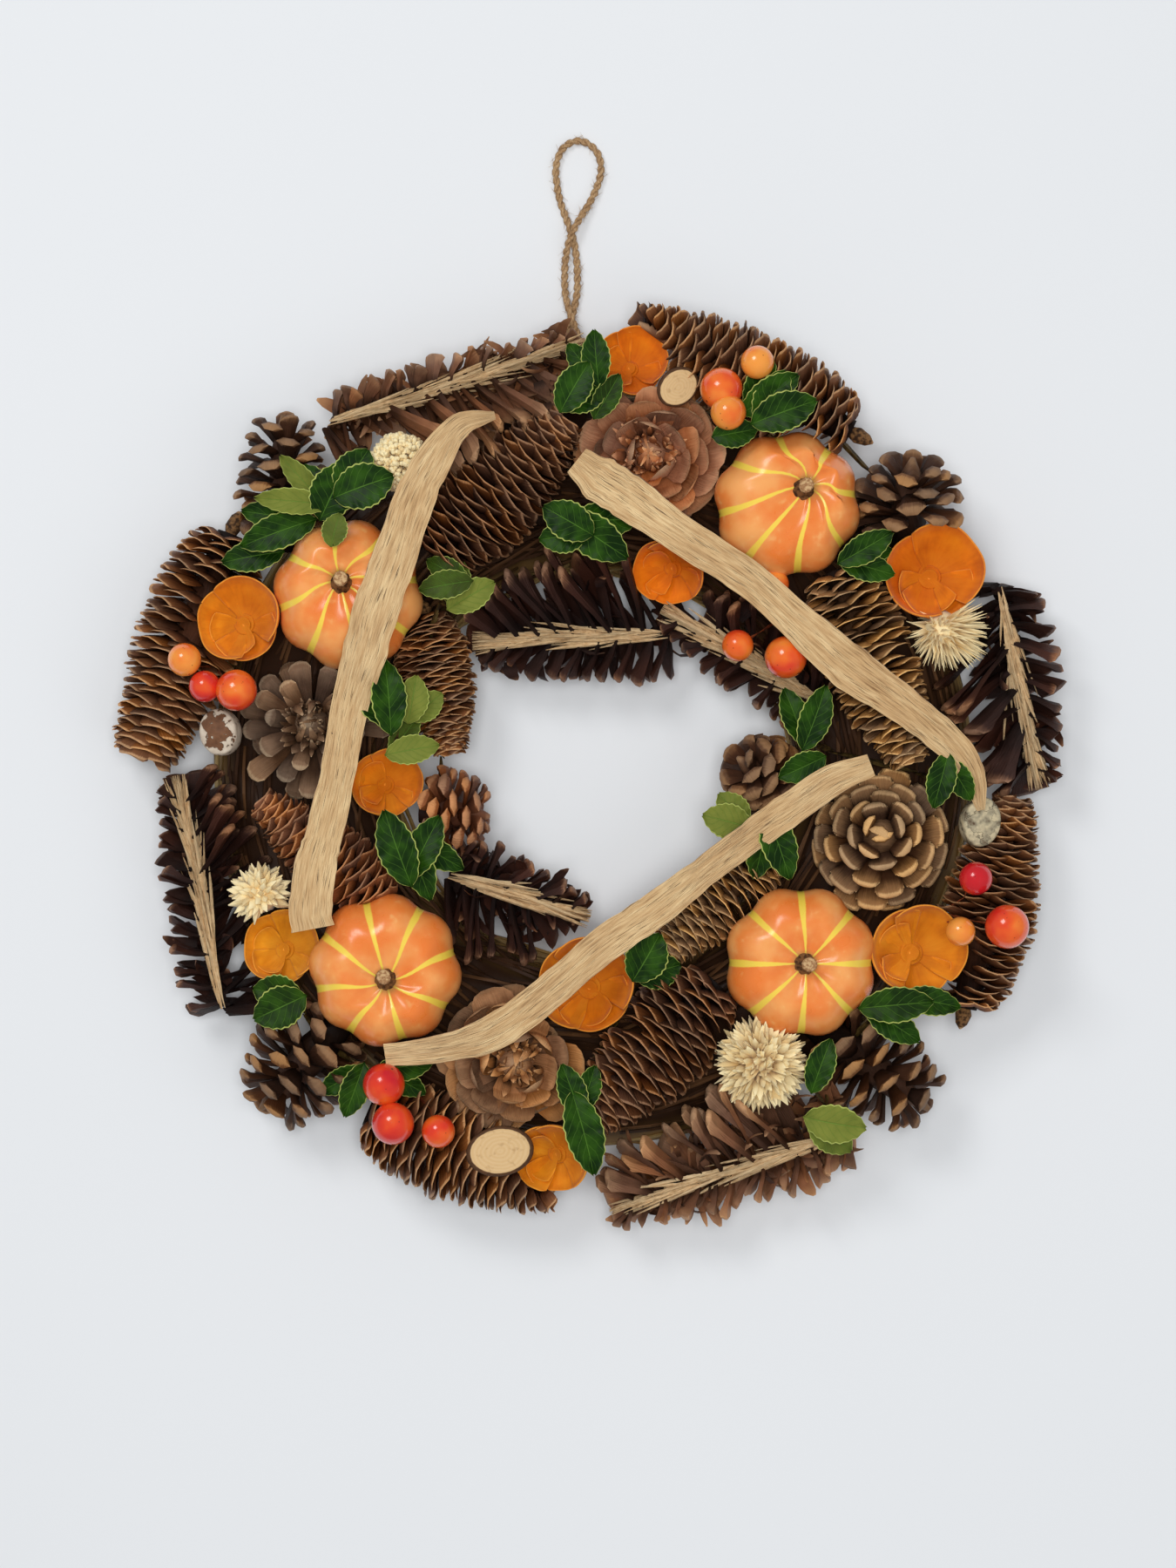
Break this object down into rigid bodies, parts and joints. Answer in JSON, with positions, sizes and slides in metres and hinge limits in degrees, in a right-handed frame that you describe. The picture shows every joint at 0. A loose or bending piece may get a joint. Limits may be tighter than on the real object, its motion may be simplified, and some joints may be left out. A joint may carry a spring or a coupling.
{
  "type": "autumn wreath",
  "caption": "Round autumn wreath of cones, small pumpkins, berries, dried flowers and leaves on a straw ring, with a twine hanging loop.",
  "frame": {"origin": "centre of the wreath, without its twine loop, on the surface that its flat back lies on", "axes": "+X to the right and +Y towards the twine loop as the wreath is seen face on, +Z out of its face"},
  "size_m": [0.3619, 0.421, 0.0667],
  "materials": {
    "straw": "matt straw",
    "jute": "fuzzy plied twine",
    "pumpkin": "satin skin",
    "berry": "glossy",
    "shaving": "velvety",
    "cream": "dry and matt",
    "slice": "sawn",
    "pod": "mottled",
    "dried_leaf": "fibrous",
    "leaf": "satin",
    "spruce": "dry scales",
    "pine": "dry scales",
    "sawn": "dry scales and sawn core"
  },
  "bodies": {
    "root": {"berries_bottom_left": "berry", "berries_inner_right": "berry", "berries_left": "berry", "berries_right": "berry", "berries_top_right": "berry", "cones_bottom_left": "pine", "cones_bottom_right": "pine", "cones_inner_bottom": "spruce", "cones_left": "pine", "cones_top_left": "pine", "cup_bottom": "shaving", "cup_bottom_outer": "shaving", "cup_inner_left": "shaving", "cup_inner_top": "shaving", "cup_left_bottom": "shaving", "cup_left_top": "shaving", "cup_right_bottom": "shaving", "cup_right_top": "shaving", "cup_top": "shaving", "dried_head_bottom": "cream", "dried_head_left": "cream", "dried_head_right": "cream", "dried_head_top_left": "cream", "dried_strip_bottom": "dried_leaf", "dried_strip_left": "dried_leaf", "dried_strip_top_right": "dried_leaf", "hanging_twine": "jute", "leaves_bottom": "leaf", "leaves_bottom_left": "leaf", "leaves_bottom_right": "leaf", "leaves_inner_left": "leaf", "leaves_right": "leaf", "leaves_top": "leaf", "leaves_top_left": "leaf", "leaves_top_right": "leaf", "pine_cone_facing": "pine", "pine_cone_inner_left": "pine", "pine_cone_inner_right": "pine", "pine_cone_right_top": "pine", "pod_left": "pod", "pod_right": "pod", "pumpkin_bottom_left": "pumpkin", "pumpkin_bottom_right": "pumpkin", "pumpkin_top_left": "pumpkin", "pumpkin_top_right": "pumpkin", "rosette_cone_bottom": "pine", "rosette_cone_top": "pine", "sawn_cone_inner_bottom_left": "sawn", "sawn_cone_left": "sawn", "sawn_cone_right": "sawn", "sawn_cones_inner_top": "sawn", "spruce_cone_inner_left": "spruce", "spruce_cone_left_outer": "spruce", "spruce_cone_right": "spruce", "spruce_cone_right_outer": "spruce", "spruce_cone_top": "spruce", "spruce_cone_top_right": "spruce", "straw_ring": "straw", "wood_slice_bottom": "slice", "wood_slice_top": "slice"}
  },
  "joints": []
}
